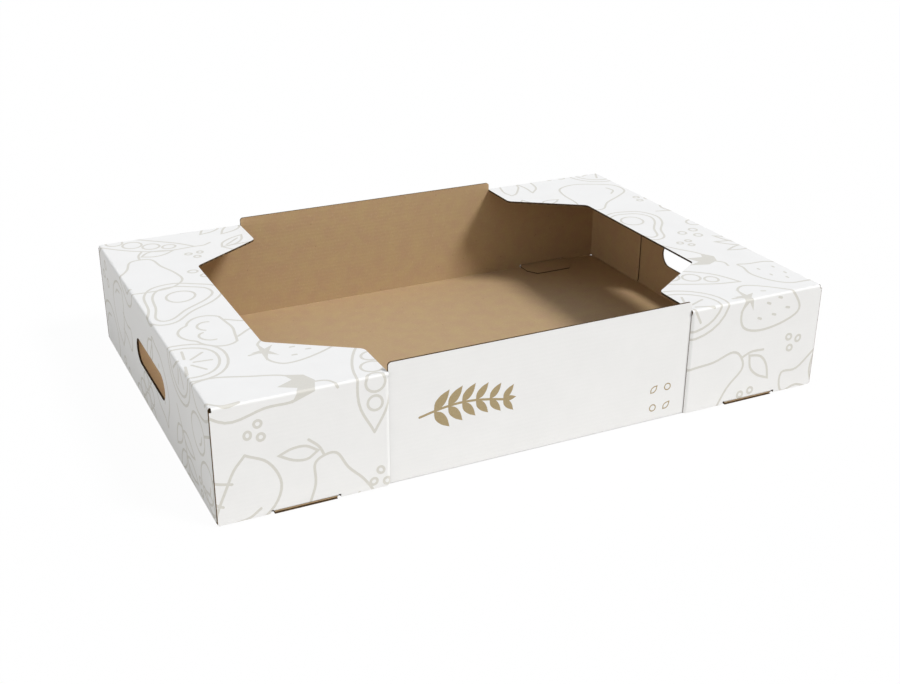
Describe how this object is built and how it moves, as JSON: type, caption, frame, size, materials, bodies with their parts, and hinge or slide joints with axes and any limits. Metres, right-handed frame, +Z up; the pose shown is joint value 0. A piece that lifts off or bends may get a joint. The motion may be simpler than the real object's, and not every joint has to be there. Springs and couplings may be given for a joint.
{
  "type": "corrugated cardboard tray",
  "caption": "Open produce tray folded from one corrugated sheet, with wide end shelves, hand holes, raised long walls and locking tabs.",
  "frame": {"origin": "on the ground under the middle of the tray", "axes": "+X along the tray from end wall to end wall, +Y across it, +Z up"},
  "size_m": [0.6, 0.4044, 0.114],
  "materials": {
    "corrugated_board": "white lined outside with pale line print, brown kraft inside and at the cut edges"
  },
  "bodies": {
    "root": {"folded_tray": "corrugated_board"}
  },
  "joints": []
}
